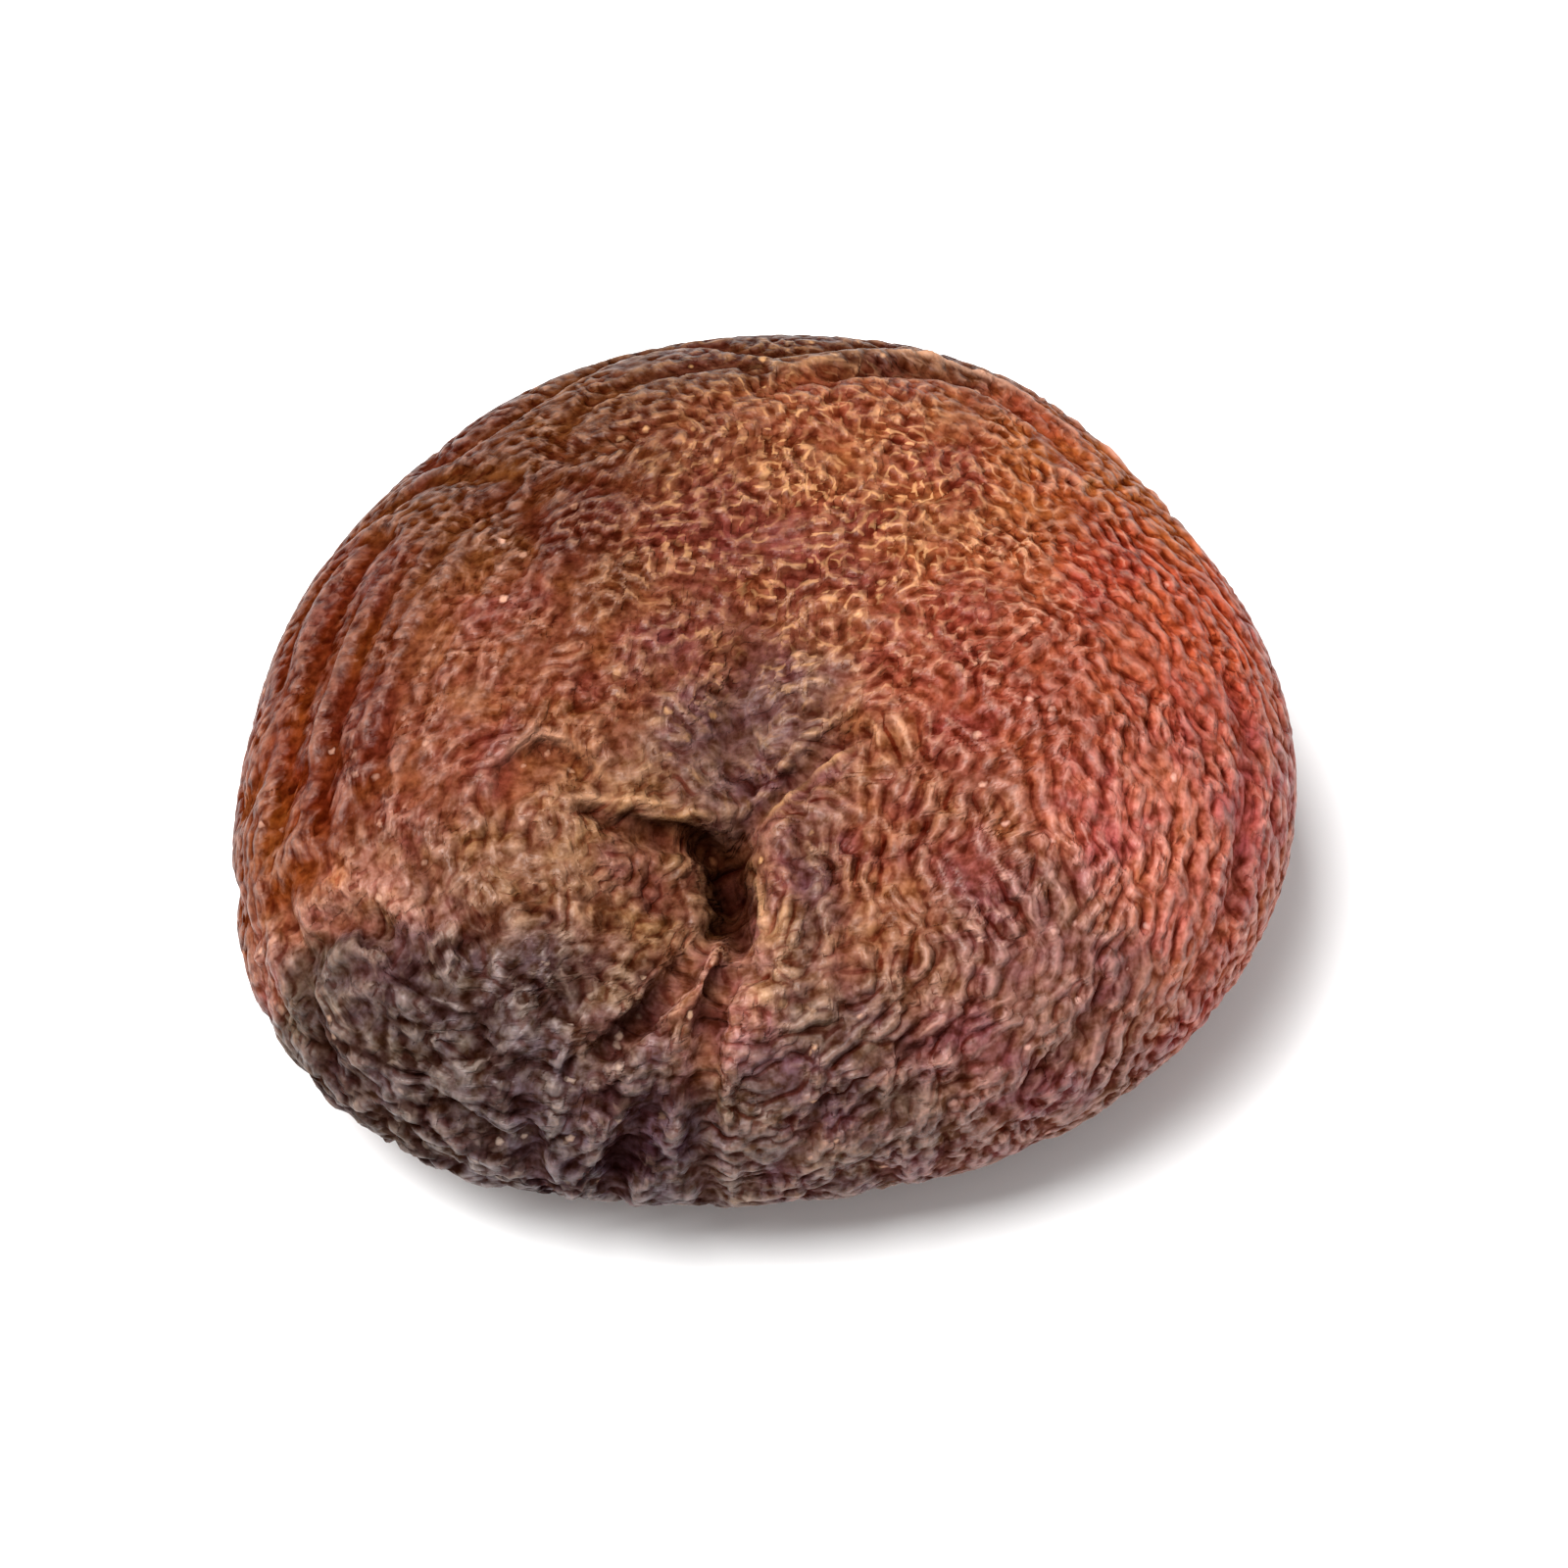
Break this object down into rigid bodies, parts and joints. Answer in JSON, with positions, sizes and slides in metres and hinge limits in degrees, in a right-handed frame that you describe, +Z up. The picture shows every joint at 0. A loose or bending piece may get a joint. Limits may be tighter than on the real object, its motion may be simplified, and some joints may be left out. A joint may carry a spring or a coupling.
{
  "type": "dried apricot",
  "caption": "A whole pitted dried apricot: a plump, flattened round fruit with a sunken stem pit, soft folds and a finely wrinkled skin, lying on its flatter side.",
  "frame": {"origin": "on the surface the fruit rests on, under the middle of its outline", "axes": "+Z up, out of the side with the stem pit; +X along the fruit's longest width; the stem pit lies towards -Y of the middle"},
  "size_m": [0.0346, 0.0308, 0.0144],
  "materials": {
    "skin": "soft sheen, finely wrinkled"
  },
  "bodies": {
    "root": {"dried_apricot": "skin"}
  },
  "joints": []
}
